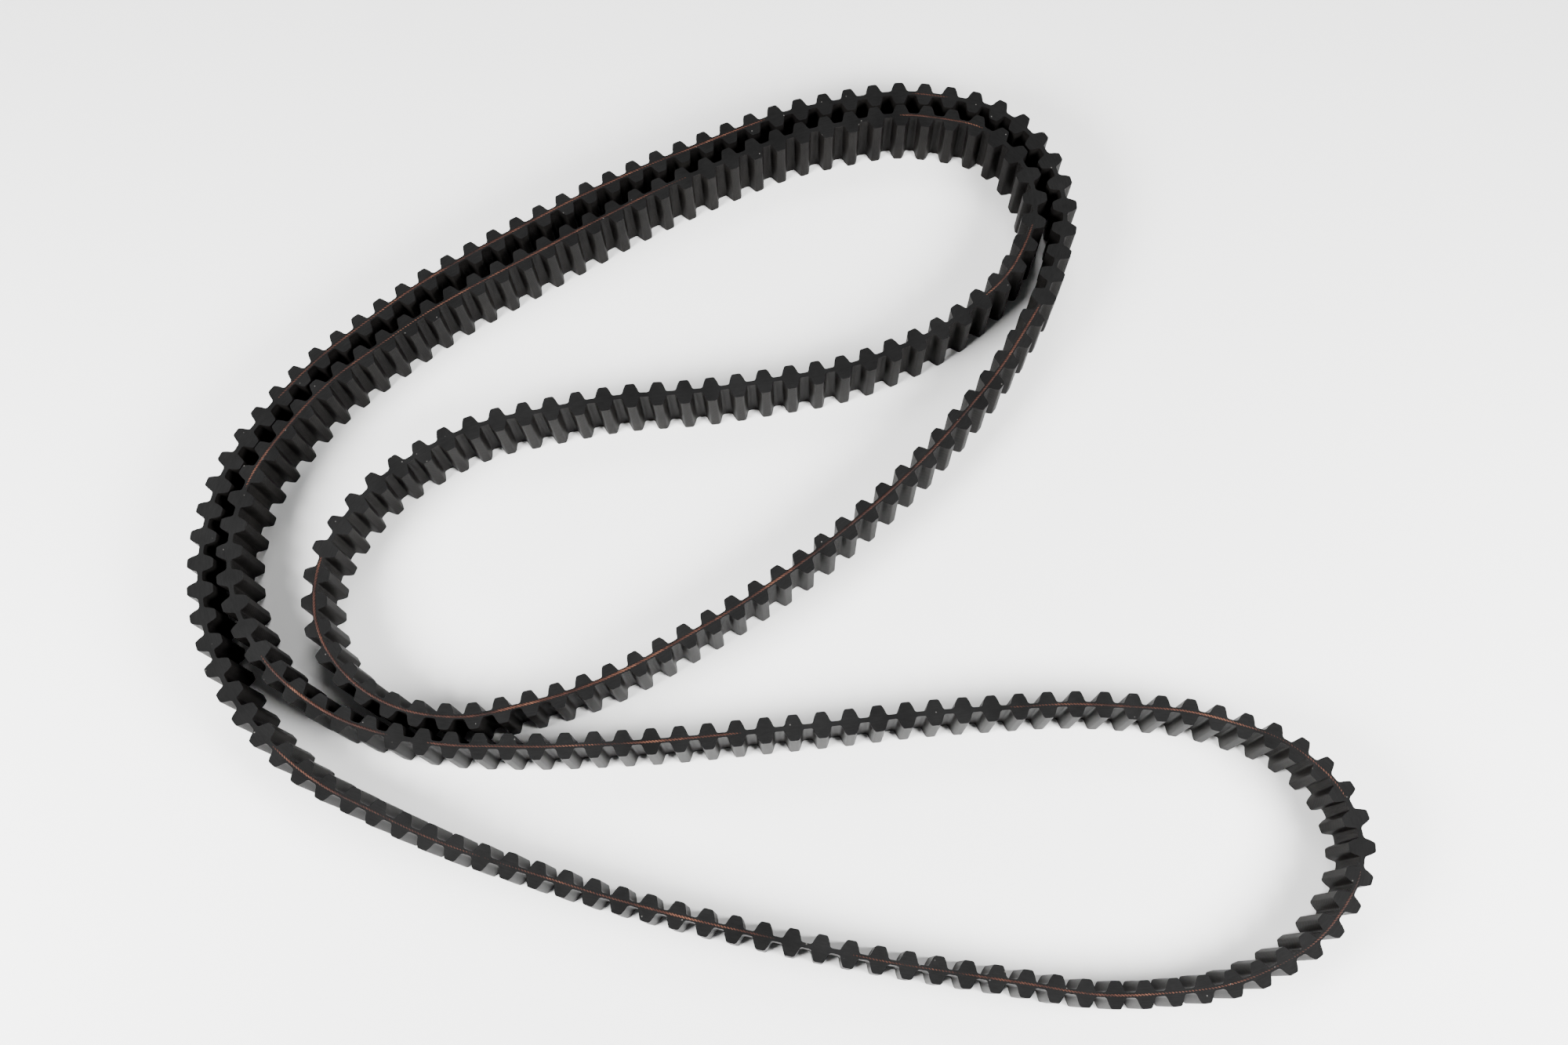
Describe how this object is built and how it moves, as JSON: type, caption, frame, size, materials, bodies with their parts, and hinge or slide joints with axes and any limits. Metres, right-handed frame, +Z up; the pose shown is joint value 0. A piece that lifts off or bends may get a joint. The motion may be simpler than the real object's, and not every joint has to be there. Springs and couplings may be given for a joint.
{
  "type": "timing belt",
  "caption": "Long double-sided toothed timing belt lying loosely coiled on its cut edge, with rounded teeth back to back on both faces and wound cords in its core.",
  "frame": {"origin": "middle of the coil's overall outline, on the plane of the cut edge that the belt stands on", "axes": "+Z up along the belt's width; +X along the coil's longer side, towards the bend where the long free loop turns back; +Y across the coil, away from that loop's open strand"},
  "size_m": [0.335, 0.2816, 0.02],
  "materials": {
    "nylon_facing": "satin woven nylon",
    "tooth_rubber": "matte, slit edge",
    "body_rubber": "matte, slit edge",
    "cord_yarn": "twisted yarn, rubber coated"
  },
  "bodies": {
    "root": {"outer_facing_fabric": "nylon_facing", "inner_facing_fabric": "nylon_facing", "outer_tooth_rubber": "tooth_rubber", "inner_tooth_rubber": "tooth_rubber", "outer_body_ply": "body_rubber", "inner_body_ply": "body_rubber", "s_twist_cord": "cord_yarn", "z_twist_cord": "cord_yarn"}
  },
  "joints": []
}
